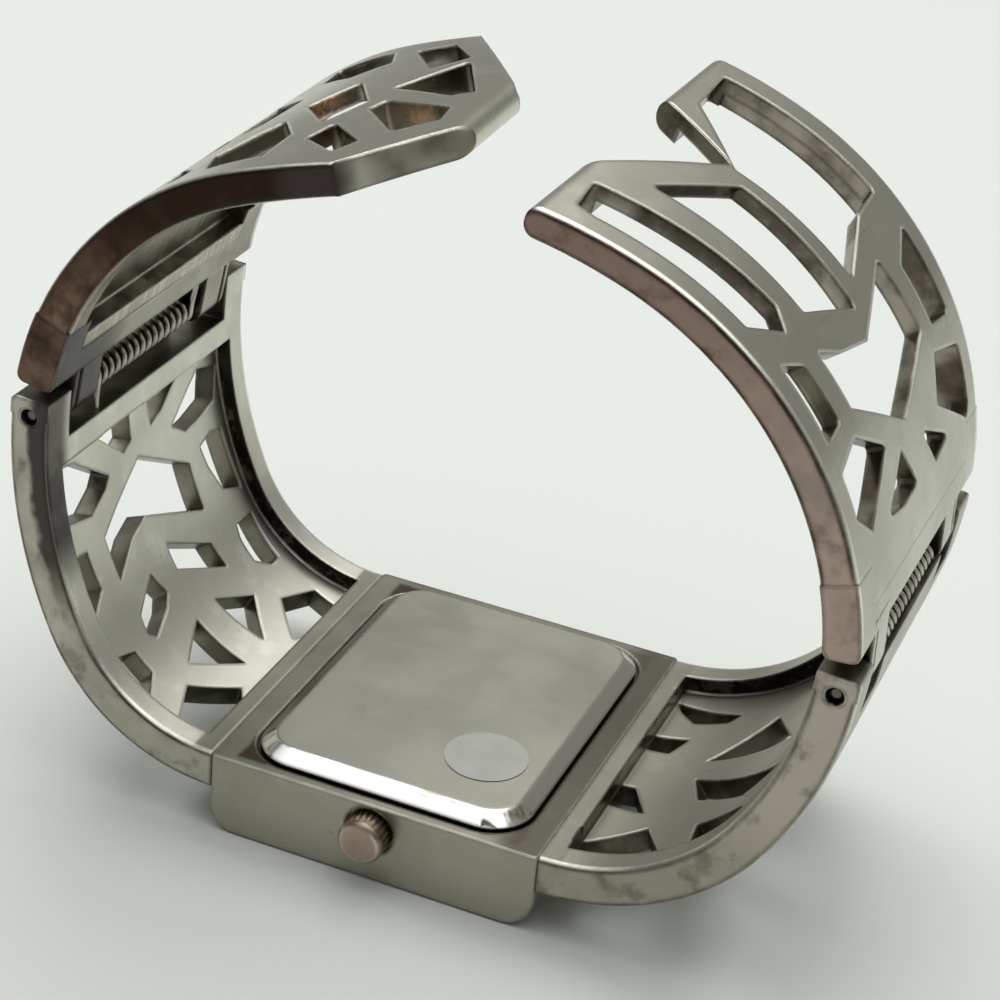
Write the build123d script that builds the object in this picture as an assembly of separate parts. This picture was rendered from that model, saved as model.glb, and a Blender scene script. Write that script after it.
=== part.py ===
from build123d import *

import os
from math import atan2, cos, degrees, pi, radians, sin, sqrt

# A ladies' cuff watch that lies on its crystal, case back up, with both spring arms closed.
# Frame: X runs across the cuff, Y along the wrist with the crown at -Y, Z up.
# The origin is the middle of the crystal's outer face, on which the watch lies. Lengths are millimetres.

# Driving dimensions of the case
case_length = 23.9
case_width = 28.0
case_height = 6.0
case_left_radius = 1.8
case_right_radius = 2.3
case_upright_radius = 0.3
case_end_wall = 2.6
case_crown_wall = 2.0

# Driving dimensions of the cuff, whose bands lie just inside the case's crown side
band_inset = 0.1
band_depth = 2.8
rail_width = 2.0
arm_tip_depth = 2.0
arm_end_radius = 0.9

# Left half: the band's corner and wall, the arm's shoulder and top, turns in degrees
left_corner_radius = 11.2
left_corner_turn = 64.5
left_wall_radius = 30.3
left_wall_end = 3.9
left_shoulder_radius = 20.4
left_shoulder_turn = 60.4
left_top_radius = 64.1
left_arm_length = 33.8
left_arm_depth = 2.8
left_arm_lean = 9.3
left_arm_flare = 0.5
left_recess_end = 24.3

# Right half, in the same way
right_corner_radius = 14.0
right_corner_turn = 56.6
right_wall_radius = 25.0
right_wall_end = -4.1
right_shoulder_radius = 22.7
right_shoulder_turn = 64.4
right_top_radius = 33.8
right_arm_length = 32.5
right_arm_depth = 2.4
right_arm_lean = 2.5
right_arm_flare = 2.1
right_recess_end = 30.5

# Pierced plates of the side bands and the arms
side_plate_recess = 1.2
side_end_bar = 1.3
side_crossbar = 1.85
arm_plate_recess = 1.3
arm_recess_start = 3.6
web_corner_radius = 0.3
rail_edge_radius = 0.3

# Hinges
knuckle_width = 2.9
knuckle_rise = 1.3
knuckle_corner_radius = 0.35
hinge_seam_gap = 1.1
hinge_side_gap = 0.35
hinge_window_drop = 2.2
lip_drop = 0.25
lip_wall = 0.27
pin_radius = 0.6
pin_press_gap = 0.01
pin_running_gap = 0.05
pin_sink = 0.4
block_reach = 4.7
block_bar_start = 0.45
block_bar_end = 2.35
block_end_radius = 0.6
cheek_width = 0.4
cheek_gap = 0.4
leg_width = 2.5
leg_inset = 0.1

# Hinge springs
spring_wire_radius = 0.18
spring_mean_radius = 0.9
spring_end_gap = 0.6
spring_pitch = 0.86
spring_seat_offset = 0.5
spring_leg_shift = 0.15
spring_leg_gap = 0.15

# Crystal, dial side
crystal_edge_x = 0.2
crystal_edge_y = 0.3
crystal_radius = 1.0
crystal_thickness = 1.2
gasket_wall = 0.3
gasket_inset = 0.2
seat_gap = 0.02
ledge_thickness = 0.9
dial_ledge = 1.1

# Movement side
cavity_radius = 1.2
loose_gap = 0.1
dial_thickness = 0.4
movement_length = 15.2
movement_width = 17.4
movement_thickness = 2.6
movement_radius = 2.0
battery_radius = 3.4
battery_thickness = 2.1
battery_edge_x = 0.8
battery_edge_y = 1.1

# Case back
lid_reach_x = 0.6
lid_reach_y = 0.9
lid_radius = 3.2
lid_rise = 1.0
lid_bevel_rise = 0.8
lid_bevel_width = 1.0
lid_flange = 0.4
lid_groove = 0.25
lid_lip_depth = 0.3
lid_lip_wall = 1.0
lid_hollow = 0.5
notch_size = 1.2
notch_depth = 0.5
notch_place_shares = (-0.88, 0.80)

# Crown, stem and setting lever
crown_radius = 1.6
crown_length = 2.2
crown_height = 3.9
crown_chamfer = 0.25
crown_flutes = 24
flute_radius = 0.13
crown_recess_depth = 0.6
crown_recess_gap = 0.2
crown_pull = 1.0
tube_outer_radius = 0.9
tube_bore_radius = 0.5
tube_stand = 0.4
tube_gap = 0.1
crown_bore_depth = 1.5
crown_front_wall = 0.5
stem_radius = 0.45
stem_nose = 0.4
stem_groove_radius = 0.28
stem_groove_width = 0.6
lever_thickness = 0.4
lever_width = 2.0
lever_height = 1.6
lever_gap = 0.1
lever_inset = 2.2

# Hands and markers
minute_hand_length = 7.6
minute_hand_width = 0.9
hour_hand_length = 5.2
hour_hand_width = 1.1
hand_thickness = 0.14
hand_gap = 0.18
hand_tail = 1.4
minute_post_radius = 0.3
hour_tube_radius = 0.7
hand_running_gap = 0.05
post_depth = 1.0
marker_count = 12
marker_length = 1.6
marker_width = 0.5
marker_thickness = 0.1
marker_edge_gap = 0.4
hand_tip_share = 0.33
shown_hours = 10
shown_minutes = 10

overrun = 1.0

# Sizes and places worked out from the sizes above
cavity_length = case_length - 2 * case_end_wall
cavity_width = case_width - 2 * case_crown_wall
crystal_length = cavity_length - 2 * crystal_edge_x
crystal_width = cavity_width - 2 * crystal_edge_y
dial_window_length = cavity_length - 2 * dial_ledge
dial_window_width = cavity_width - 2 * dial_ledge
lid_length = cavity_length + 2 * lid_reach_x
lid_width = cavity_width + 2 * lid_reach_y
battery_x = battery_edge_x + battery_radius - movement_length / 2
battery_y = movement_width / 2 - battery_radius - battery_edge_y
band_width = case_width - 2 * band_inset
half_band = band_width / 2
half_web = half_band - rail_width
half_knuckle = half_band - knuckle_width
cheek_outer = half_knuckle - hinge_side_gap
cheek_inner = cheek_outer - cheek_width
leg_outer = cheek_inner - cheek_gap
leg_inner = leg_outer - leg_width
spring_turns = int(2 * (leg_inner - spring_end_gap) / spring_pitch)
deck = case_height
side_join_x = case_length / 2
pin_rise = band_depth / 2
dial_front_z = crystal_thickness + ledge_thickness
dial_back_z = dial_front_z + dial_thickness
movement_back_z = dial_back_z + movement_thickness
lid_seat_z = case_height - lid_flange
hour_hand_z = dial_front_z - marker_thickness - hand_thickness - hand_gap / 2
minute_hand_z = hour_hand_z - hand_thickness - hand_gap
hour_tube_end = dial_back_z + post_depth / 2
minute_post_end = dial_back_z + post_depth
crown_back_y = crown_recess_depth - loose_gap - case_width / 2
crown_face_y = crown_back_y - crown_length
stem_start_y = crown_face_y + crown_front_wall
lever_y = lever_inset - movement_width / 2
stem_end_y = lever_y + stem_groove_width / 2 + stem_nose


class ArcPath:
    """A chain of arcs in the XZ plane, walked by its length, with offsets along its outward normal.

    A path with a flare turns about its pivot, an axis along Y, by that many degrees per half band of Y.
    A path with a tip thins the plate on it, from the start depth to the tip depth there.
    """

    def __init__(self, arcs, pivot=None, flare=0, start_depth=band_depth, tip=0):
        self.arcs = arcs
        self.pivot = pivot
        self.flare = flare
        self.start_depth = start_depth
        self.tip = tip
        self.starts = [0.0]
        for _, _, radius, begin, end in arcs:
            self.starts.append(self.starts[-1] + radius * radians(end - begin))
        self.length = self.starts[-1]

    def place(self, s):
        index = 0
        while index < len(self.arcs) - 1 and s > self.starts[index + 1]:
            index += 1
        centre_x, centre_z, radius, begin, _ = self.arcs[index]
        return centre_x, centre_z, radius, radians(begin) + (s - self.starts[index]) / radius

    def normal(self, s):
        angle = self.place(s)[3]
        return Vector(cos(angle), 0, sin(angle))

    def heading(self, s):
        angle = self.place(s)[3]
        return Vector(-sin(angle), 0, cos(angle))

    def depth(self, s):
        if not self.tip:
            return self.start_depth
        return self.start_depth + (arm_tip_depth - self.start_depth) * s / self.tip

    def point(self, s, offset, y=0):
        centre_x, centre_z, radius, angle = self.place(s)
        reach = radius + band_depth - (band_depth - offset) * self.depth(s) / band_depth
        spot = Vector(centre_x + reach * cos(angle), y, centre_z + reach * sin(angle))
        if not self.flare:
            return spot
        return (spot - self.pivot).rotate(Axis.Y, self.flare * y / half_band) + self.pivot


class Half:
    """One half of the cuff, drawn on the +X side: the band's path, the pin's place and the arm's path."""

    def __init__(self, corner_radius, corner_turn, wall_radius, wall_end, shoulder_radius, shoulder_turn,
                 top_radius, arm_length, arm_depth, lean, flare):
        join_z = deck + corner_radius
        swing = wall_radius - corner_radius
        wall_x = side_join_x - swing * sin(radians(corner_turn))
        wall_z = join_z + swing * cos(radians(corner_turn))
        turn = corner_turn - 90
        self.side = ArcPath([(side_join_x, join_z, corner_radius, -90, turn),
                             (wall_x, wall_z, wall_radius, turn, wall_end)])
        self.pin = self.side.point(self.side.length, pin_rise)
        self.arm_start_z = self.pin.Z + knuckle_rise + hinge_seam_gap
        centre_x = self.pin.X - pin_rise - shoulder_radius
        swing = top_radius - shoulder_radius
        turn = radians(shoulder_turn)
        arcs = [(centre_x, self.arm_start_z, shoulder_radius, 0, shoulder_turn),
                (centre_x - swing * cos(turn), self.arm_start_z - swing * sin(turn), top_radius,
                 shoulder_turn, 90)]
        self.arm = ArcPath(arcs, self.pin, flare, arm_depth, arm_length)
        self.arm_length = arm_length
        self.lean = lean

    def leaned(self, solid):
        """A solid of the arm, turned in about the pin."""
        return solid.rotate(Axis((self.pin.X, 0, self.pin.Z), (0, -1, 0)), self.lean)

    def leaned_point(self, s, offset, y):
        return (self.arm.point(s, offset, y) - self.pin).rotate(Axis.Y, -self.lean) + self.pin


left = Half(left_corner_radius, left_corner_turn, left_wall_radius, left_wall_end, left_shoulder_radius,
            left_shoulder_turn, left_top_radius, left_arm_length, left_arm_depth, left_arm_lean,
            left_arm_flare)
right = Half(right_corner_radius, right_corner_turn, right_wall_radius, right_wall_end,
             right_shoulder_radius, right_shoulder_turn, right_top_radius, right_arm_length,
             right_arm_depth, right_arm_lean, right_arm_flare)


def profile(path, start, end, inner, outer, y, rounds=()):
    """The outline between two offsets of a path, at one place along Y, with (s, offset, radius) rounds."""
    cuts = [start] + [s for s in path.starts[1:-1] if start < s < end] + [end]
    edges = []
    for offset, ends in ((inner, cuts), (outer, cuts[::-1])):
        for first, second in zip(ends, ends[1:]):
            middle = (first + second) / 2
            edges.append(Edge.make_three_point_arc(path.point(first, offset, y), path.point(middle, offset, y),
                                                   path.point(second, offset, y)))
    edges.append(Edge.make_line(path.point(end, inner, y), path.point(end, outer, y)))
    edges.append(Edge.make_line(path.point(start, inner, y), path.point(start, outer, y)))
    face = Face(Wire(edges))
    for s, offset, radius in rounds:
        corner = path.point(s, offset, y)
        face = face.fillet_2d(radius, face.vertices().sort_by_distance(corner)[:1])
    return face


def strip(path, start, end, inner, outer, low_y, high_y, rounds=()):
    """The solid between two offsets of a path, from one length along it to another."""
    low = profile(path, start, end, inner, outer, low_y, rounds)
    if not path.flare:
        return Solid.extrude(low, Vector(0, high_y - low_y, 0))
    high = profile(path, start, end, inner, outer, high_y, rounds)
    return Solid.make_loft([low.outer_wire(), high.outer_wire()], True)


def rounded_strip(path, start, end, rounds=()):
    """A full-width strip with its four long edges rounded."""
    solid = strip(path, start, end, 0, band_depth, -half_band, half_band, rounds)
    long_edges = [edge for edge in solid.edges() if edge.geom_type == GeomType.CIRCLE]
    return solid.fillet(rail_edge_radius, long_edges)


def prism(path, corners, offset, reach, corner_radius=0):
    """A straight cutter through a path's plate, from corners given as length along it and Y."""
    mid_s = sum(s for s, _ in corners) / len(corners)
    mid_y = sum(y for _, y in corners) / len(corners)
    normal = path.normal(mid_s)
    plane = Plane(origin=path.point(mid_s, offset, mid_y), x_dir=(0, 1, 0), z_dir=normal)
    flat = []
    for s, y in corners:
        local = plane.to_local_coords(path.point(s, offset, y))
        flat.append(plane.from_local_coords(Vector(local.X, local.Y, 0)))
    face = Face(Wire.make_polygon(flat, close=True))
    if corner_radius:
        face = face.fillet_2d(corner_radius, face.vertices())
    return Solid.extrude(face.moved(Location(normal * -reach)), normal * (2 * reach))


def rod(radius, start, direction, length):
    """A round bar from a start point along a direction."""
    return Solid.make_cylinder(radius, length, Plane(origin=start, z_dir=direction))


def block(low, high):
    size = Vector(*high) - Vector(*low)
    return Solid.make_box(size.X, size.Y, size.Z, Plane(origin=low))


def rounded_plate(length, width, radius, low_z, high_z):
    return extrude(Pos(0, 0, low_z) * RectangleRounded(length, width, radius), amount=high_z - low_z)


def mirrored(solid):
    return solid.mirror(Plane.YZ)


def web_holes(path, table, length, offset, corner_radius=0):
    reach = band_depth + overrun
    return [prism(path, [(s * length, y * half_web) for s, y in shape], offset, reach, corner_radius)
            for shape in table]


# Holes of the side bands: each corner is a share of the web's length and of its half width.
left_side_shares = [
    [(1.00, -0.56), (1.00, -0.09), (0.88, -0.09), (0.86, -0.19)],
    [(1.00, 0.11), (1.00, 0.59), (0.90, 0.28), (0.88, 0.14)],
    [(0.94, 0.74), (0.91, 0.97), (0.81, 0.89), (0.79, 0.67), (0.785, 0.52), (0.83, 0.37)],
    [(0.71, 0.64), (0.73, 0.79), (0.715, 0.91), (0.52, 0.93), (0.55, 0.75), (0.64, 0.67)],
    [(0.82, -0.04), (0.69, 0.48), (0.54, 0.48), (0.65, -0.12), (0.62, -0.31), (0.54, -0.55), (0.68, -0.56),
     (0.74, -0.35)],
    [(0.54, -0.01), (0.45, 0.40), (0.37, 0.41), (0.46, -0.01)],
    [(0.44, 0.72), (0.44, 0.91), (0.29, 0.86), (0.29, 0.76), (0.33, 0.66), (0.40, 0.68)],
    [(0.33, 0.12), (0.26, 0.42), (0.15, 0.13)],
    [(0.32, -0.13), (0.14, -0.15), (0.25, -0.46)],
    [(0.20, 0.57), (0.15, 0.83), (0.065, 0.78), (0.06, 0.47), (0.09, 0.28)],
    [(0.50, -0.26), (0.43, -0.20), (0.40, -0.28), (0.36, -0.51), (0.38, -0.56), (0.43, -0.52)],
    [(0.40, -0.97), (0.37, -0.74), (0.30, -0.74), (0.24, -0.97)],
    [(0.21, -0.62), (0.10, -0.37), (0.06, -0.53), (0.06, -0.97), (0.10, -1.00), (0.15, -0.96)],
    [(0.95, -0.84), (0.94, -0.73), (0.83, -0.38), (0.80, -0.44), (0.76, -0.62), (0.79, -0.93), (0.905, -0.91)],
    [(0.69, -0.96), (0.68, -0.76), (0.56, -0.74), (0.50, -0.92), (0.56, -0.94)],
]
right_side_shares = [
    [(0.06, -0.78), (0.21, -0.57), (0.29, -0.84), (0.13, -0.90), (0.06, -0.92)],
    [(0.06, -0.15), (0.10, -0.15), (0.17, -0.41), (0.06, -0.37)],
    [(0.06, 0.43), (0.165, 0.44), (0.13, 0.26), (0.06, 0.27)],
    [(0.06, 0.84), (0.28, 0.73), (0.25, 0.64), (0.145, 0.63), (0.09, 0.74)],
    [(0.26, 0.18), (0.43, 0.57), (0.55, 0.13), (0.44, 0.15)],
    [(0.26, -0.03), (0.58, -0.22), (0.475, -0.40), (0.31, -0.28)],
    [(0.50, 0.90), (0.56, 0.55), (0.70, 0.42), (0.76, 0.62), (0.70, 0.92)],
    [(0.64, 0.24), (0.68, -0.10), (0.80, -0.12), (0.86, 0.20), (0.74, 0.28)],
    [(0.68, -0.34), (0.78, -0.34), (0.92, -0.72), (0.84, -0.94), (0.68, -0.80)],
    [(0.36, -0.58), (0.50, -0.55), (0.60, -0.75), (0.56, -0.95), (0.38, -0.93)],
    [(0.86, 0.45), (0.97, 0.08), (1.00, 0.50), (0.94, 0.90), (0.84, 0.88)],
    [(0.91, -0.15), (1.00, -0.20), (1.00, -0.55)],
]

# Holes of the arms: each corner is a share of that arm's length and of the web's half width.
left_arm_shares = [
    [(0.675, 0.95), (0.755, 0.99), (0.83, 0.68), (0.77, 0.50)],
    [(0.745, 0.15), (0.84, 0.60), (0.93, 0.02), (0.89, -0.05)],
    [(0.755, -0.22), (0.77, -0.09), (0.92, -0.25), (0.93, -0.46), (0.865, -0.66)],
    [(0.59, 0.02), (0.645, 0.38), (0.73, -0.08), (0.69, -0.41)],
    [(0.705, -0.69), (0.725, -0.45), (0.825, -0.80), (0.80, -0.97)],
    [(0.52, -0.66), (0.59, -0.24), (0.655, -0.58), (0.66, -0.95), (0.56, -1.00)],
    [(0.50, 1.00), (0.52, 0.66), (0.59, 0.56), (0.65, 0.75), (0.62, 1.00)],
    [(0.40, 0.10), (0.44, -0.40), (0.52, -0.10), (0.54, 0.28), (0.46, 0.42)],
    [(0.28, -0.10), (0.30, -0.60), (0.38, -0.75), (0.39, -0.35), (0.35, -0.04)],
    [(0.30, 1.00), (0.32, 0.60), (0.42, 0.65), (0.44, 0.95)],
    [(0.40, -1.00), (0.45, -0.66), (0.51, -0.86), (0.50, -1.00)],
    [(0.26, 0.12), (0.34, 0.16), (0.38, 0.42), (0.27, 0.42)],
]
right_arm_shares = [
    [(0.94, -0.97), (0.95, -0.70), (0.59, -0.65), (0.55, -0.75), (0.60, -1.00), (0.90, -1.00)],
    [(0.88, -0.47), (0.77, 0.02), (0.49, 0.00), (0.55, -0.48)],
    [(0.94, 0.56), (0.95, 0.98), (0.61, 0.98), (0.60, 0.66), (0.53, 0.15), (0.80, 0.13)],
    [(0.52, -1.00), (0.49, -0.80), (0.38, -0.78), (0.37, -1.00)],
    [(0.49, -0.62), (0.455, -0.39), (0.435, -0.09), (0.52, 0.52), (0.37, 0.57), (0.28, -0.04), (0.38, -0.60)],
    [(0.53, 1.00), (0.35, 1.00), (0.36, 0.73), (0.48, 0.72)],
    [(0.32, 0.62), (0.29, 1.00), (0.18, 1.00), (0.15, 0.95), (0.24, 0.46)],
    [(0.34, -0.70), (0.28, -0.38), (0.19, -0.83), (0.235, -1.00), (0.315, -1.00)],
    [(0.25, -0.20), (0.165, -0.05), (0.16, -0.30), (0.175, -0.58)],
    [(0.24, 0.12), (0.17, 0.58), (0.155, 0.30)],
]

# Ends of the arms, as shares of the arm's length and of the band's half width.
left_tip_shares = [(0.78, 1.00), (0.995, 0.11), (1.00, -0.42), (0.83, -1.00)]
right_notch_shares = [(1.00, -0.48), (0.81, 0.13), (1.00, 0.39)]


def side_band(half, table):
    """A fixed side of the cuff: end bar, pierced plate between rails, crossbar and two knuckles."""
    side = half.side
    end_s = side.length
    window_s = end_s - hinge_window_drop
    web_length = window_s - side_crossbar
    lip_half = leg_inner - loose_gap
    band = rounded_strip(side, 0, end_s)
    recess = strip(side, side_end_bar, web_length, -overrun, side_plate_recess, -half_web, half_web)
    trough = strip(side, window_s, end_s, -overrun, band_depth - lip_wall, -half_knuckle, half_knuckle)
    window = strip(side, end_s - lip_drop, end_s, -overrun, band_depth + overrun, -half_knuckle, half_knuckle)
    rooms = [strip(side, window_s, end_s, -overrun, band_depth + overrun, low_y, high_y)
             for low_y, high_y in ((-half_knuckle, -lip_half), (lip_half, half_knuckle))]
    holes = web_holes(side, table, web_length, side_plate_recess)
    band = band.cut(recess, trough, window, *rooms, *holes)
    rise = side.heading(end_s) * knuckle_rise
    inner, outer = side.point(end_s, 0), side.point(end_s, band_depth)
    square = Face(Wire.make_polygon([inner, outer, outer + rise, inner + rise], close=True))
    corner = square.vertices().sort_by_distance(outer + rise)[:1]
    square = square.fillet_2d(knuckle_corner_radius, corner)
    ends = [Solid.extrude(square.moved(Location((0, low_y, 0))), Vector(0, knuckle_width, 0))
            for low_y in (-half_band, half_knuckle)]
    band = band.fuse(*ends)
    bore = rod(pin_radius + pin_press_gap, (half.pin.X, -half_band - overrun, half.pin.Z), (0, 1, 0),
               band_width + 2 * overrun)
    return band.cut(bore).clean()


def hinge_block(half):
    """The arm's hinge piece: side bars, a cross bar, two thin cheeks and two legs that ride on the pin."""
    path = half.arm
    pin = half.pin
    rounds = [(0, 0, block_end_radius), (0, band_depth, block_end_radius)]
    solid = strip(path, 0, block_reach, 0, band_depth, -half_band, half_band, rounds)
    gaps = [(block_bar_end, block_reach + overrun, -half_knuckle, half_knuckle),
            (-overrun, block_bar_start, -half_knuckle, half_knuckle)]
    solid = solid.cut(*[strip(path, start, end, -overrun, band_depth + overrun, low_y, high_y)
                        for start, end, low_y, high_y in gaps])
    leg_rise = pin_rise - leg_inset
    inner_x = pin.X + pin_rise - path.depth(0) + leg_inset
    leg_top_z = half.arm_start_z + (block_bar_start + block_bar_end) / 2
    legs = []
    for low_y, high_y in ((-leg_outer, -leg_inner), (leg_inner, leg_outer), (-cheek_outer, -cheek_inner),
                          (cheek_inner, cheek_outer)):
        legs.append(block((inner_x, low_y, pin.Z), (pin.X + leg_rise, high_y, leg_top_z)))
        legs.append(rod(leg_rise, (pin.X, low_y, pin.Z), (0, 1, 0), high_y - low_y))
    bore = rod(pin_radius + pin_running_gap, (pin.X, -half_band, pin.Z), (0, 1, 0), band_width)
    return half.leaned(solid.fuse(*legs).cut(bore).clean())


def arm_casting(half, table, recess_end, end_cutters):
    """An arm's pierced casting, from the hinge block's bar to its tip."""
    path = half.arm
    length = half.arm_length
    rounds = [(length, 0, arm_end_radius), (length, band_depth, arm_end_radius)]
    solid = rounded_strip(path, block_bar_end, length, rounds)
    cutters = [strip(path, arm_recess_start, recess_end, -overrun, arm_plate_recess, -half_web, half_web)]
    for low_y in (-half_band - overrun, half_knuckle):
        cutters.append(strip(path, 0, block_reach, -overrun, band_depth + overrun, low_y,
                             low_y + knuckle_width + overrun))
    cutters += web_holes(path, table, length, band_depth, web_corner_radius)
    return half.leaned(solid.cut(*cutters, *end_cutters).clean())


def left_end_cutters():
    far = left_arm_length + 2 * overrun
    wide = half_band + 2 * overrun
    points = [(s * left_arm_length, y * half_band) for s, y in left_tip_shares]
    back = [points[0], points[1], (far, points[1][1]), (far, wide), (points[0][0], wide)]
    front = [points[2], points[3], (points[3][0], -wide), (far, -wide), (far, points[2][1])]
    return [prism(left.arm, shape, band_depth, 3 * band_depth) for shape in (back, front)]


def right_end_cutters():
    points = [(s * right_arm_length, y * half_band) for s, y in right_notch_shares]
    far = right_arm_length + 2 * overrun
    notch = [points[0], points[1], points[2], (far, points[2][1]), (far, points[0][1])]
    return [prism(right.arm, notch, band_depth, 3 * band_depth, web_corner_radius)]


def hinge_pin(half):
    reach = half_band - pin_sink
    return rod(pin_radius, (half.pin.X, -reach, half.pin.Z), (0, 1, 0), 2 * reach)


def helix_point(half, turn):
    angle = 2 * pi * turn
    start_y = -spring_turns * spring_pitch / 2
    return half.pin + Vector(-spring_mean_radius * cos(angle), start_y + spring_pitch * turn,
                             spring_mean_radius * sin(angle))


def helix_tangent(turn):
    angle = 2 * pi * turn
    round_speed = 2 * pi * spring_mean_radius
    return Vector(round_speed * sin(angle), spring_pitch, round_speed * cos(angle)).normalized()


def biarc(start, start_tangent, end, end_tangent):
    """Two arcs that join two points with the given tangents."""
    chord = end - start
    both = start_tangent + end_tangent
    square = 2 * (1 - start_tangent.dot(end_tangent))
    along = chord.dot(both)
    handle = chord.dot(chord) / (along + sqrt(along * along + square * chord.dot(chord)))
    first = start + start_tangent * handle
    second = end - end_tangent * handle
    middle = (first + second) * 0.5
    return [Edge.make_tangent_arc(start, start_tangent, middle),
            Edge.make_tangent_arc(middle, second - first, end)]


def hinge_spring(half):
    """A one-piece torsion spring round the pin: a leg to the crossbar, the turns, a leg to the arm's bar."""
    foot_s = half.side.length - hinge_window_drop
    foot_way = half.side.heading(foot_s)
    head_way = half.arm.heading(block_bar_start).rotate(Axis.Y, -half.lean)
    start, end = helix_point(half, 0), helix_point(half, spring_turns)
    foot = half.side.point(foot_s, spring_seat_offset, start.Y - spring_leg_shift)
    head = half.leaned_point(block_bar_start, spring_seat_offset, end.Y + spring_leg_shift)
    head -= head_way * spring_leg_gap
    foot_top = foot + foot_way * (2 * spring_wire_radius)
    head_low = head - head_way * (2 * spring_wire_radius)
    edges = [Edge.make_line(foot, foot_top)]
    edges += biarc(foot_top, foot_way, start, helix_tangent(0))
    for step in range(2 * spring_turns):
        first, second = step / 2, (step + 1) / 2
        edges += biarc(helix_point(half, first), helix_tangent(first), helix_point(half, second),
                       helix_tangent(second))
    edges += biarc(end, helix_tangent(spring_turns), head_low, head_way)
    edges.append(Edge.make_line(head_low, head))
    path = Wire(edges)
    section = Plane(origin=foot, z_dir=foot_way) * Circle(spring_wire_radius)
    coil = sweep(section, path=path)
    count = 8 * len(edges)
    points = [path.position_at(i / count) for i in range(count + 1)]
    apart = round(count * pi * spring_mean_radius / path.length)
    least = min((points[i] - points[j]).length for i in range(count)
                for j in range(i + apart, min(i + 3 * apart, count + 1)))
    section_area = pi * spring_wire_radius ** 2
    print("spring: least gap to itself", round(least - 2 * spring_wire_radius, 3), "mm, volume",
          round(coil.volume, 3), "of", round(section_area * path.length, 3))
    return coil


def case_body():
    """The mid-case with its crystal seat, dial window, movement room, lid recess and crown hole."""
    half_y = case_width / 2
    body = Box(case_length, case_width, case_height, align=(Align.CENTER, Align.CENTER, Align.MIN))
    for end, radius in ((0, case_left_radius), (-1, case_right_radius)):
        bottom = body.faces().sort_by(Axis.Z)[0]
        body = fillet(bottom.edges().filter_by(Axis.Y).sort_by(Axis.X)[end], radius)
    body = fillet(body.edges().filter_by(Axis.Z), case_upright_radius)
    seat_length = crystal_length + 2 * gasket_wall + 2 * seat_gap
    seat_width = crystal_width + 2 * gasket_wall + 2 * seat_gap
    body -= rounded_plate(seat_length, seat_width, crystal_radius + gasket_wall + seat_gap, -overrun,
                          crystal_thickness)
    body -= rounded_plate(dial_window_length, dial_window_width, crystal_radius, 0, case_height)
    body -= rounded_plate(cavity_length, cavity_width, cavity_radius, dial_front_z, case_height + overrun)
    body -= rounded_plate(lid_length + 2 * lid_groove, lid_width + 2 * lid_groove, lid_radius + lid_groove,
                          case_height - lid_flange, case_height + overrun)
    body -= rod(tube_outer_radius + pin_press_gap, (0, -half_y - overrun, crown_height), (0, 1, 0),
                half_y + overrun)
    body -= rod(crown_radius + crown_recess_gap, (0, -half_y - overrun, crown_height), (0, 1, 0),
                crown_recess_depth + overrun)
    return body


def crystal():
    return rounded_plate(crystal_length, crystal_width, crystal_radius, 0, crystal_thickness)


def crystal_gasket():
    outer = rounded_plate(crystal_length + 2 * gasket_wall, crystal_width + 2 * gasket_wall,
                          crystal_radius + gasket_wall, gasket_inset, crystal_thickness)
    return outer - rounded_plate(crystal_length + seat_gap, crystal_width + seat_gap, crystal_radius, 0,
                                 case_height)


def case_back():
    """The snap-on back: a flange, a bevelled raised plate, a lip underneath and two opener notches."""
    top_z = case_height + lid_rise
    bevel_z = top_z - lid_bevel_rise
    plate = rounded_plate(lid_length, lid_width, lid_radius, lid_seat_z, bevel_z)
    top_length = lid_length - 2 * lid_bevel_width
    top_width = lid_width - 2 * lid_bevel_width
    low = Pos(0, 0, bevel_z) * RectangleRounded(lid_length, lid_width, lid_radius)
    high = Pos(0, 0, top_z) * RectangleRounded(top_length, top_width, lid_radius - lid_bevel_width)
    back = plate + loft([low.face(), high.face()])
    lip_length = cavity_length - 2 * seat_gap
    lip_width = cavity_width - 2 * seat_gap
    lip = rounded_plate(lip_length, lip_width, cavity_radius, lid_seat_z - lid_lip_depth, lid_seat_z)
    back += lip
    back -= rounded_plate(lip_length - 2 * lid_lip_wall, lip_width - 2 * lid_lip_wall, cavity_radius / 2,
                          lid_seat_z - lid_lip_depth - overrun, lid_seat_z + lid_hollow)
    for share in notch_place_shares:
        x = share * lid_length / 2
        y = -lid_width / 2
        back -= block((x - notch_size / 2, y - overrun, bevel_z),
                      (x + notch_size / 2, y + notch_depth, top_z + overrun))
    return back


def case_back_gasket():
    """A flat ring between the movement ring's edge and the lid's lip."""
    length = cavity_length - 2 * loose_gap
    width = cavity_width - 2 * loose_gap
    low_z = movement_back_z
    high_z = lid_seat_z - lid_lip_depth
    ring = rounded_plate(length, width, cavity_radius - loose_gap, low_z, high_z)
    return ring - rounded_plate(length - 2 * lid_lip_wall, width - 2 * lid_lip_wall, cavity_radius / 2,
                                low_z - overrun, high_z + overrun)


def dial():
    plate = rounded_plate(cavity_length - 2 * loose_gap, cavity_width - 2 * loose_gap,
                          cavity_radius - loose_gap, dial_front_z, dial_back_z)
    return plate - rod(hour_tube_radius + loose_gap, (0, 0, 0), (0, 0, 1), case_height)


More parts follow.
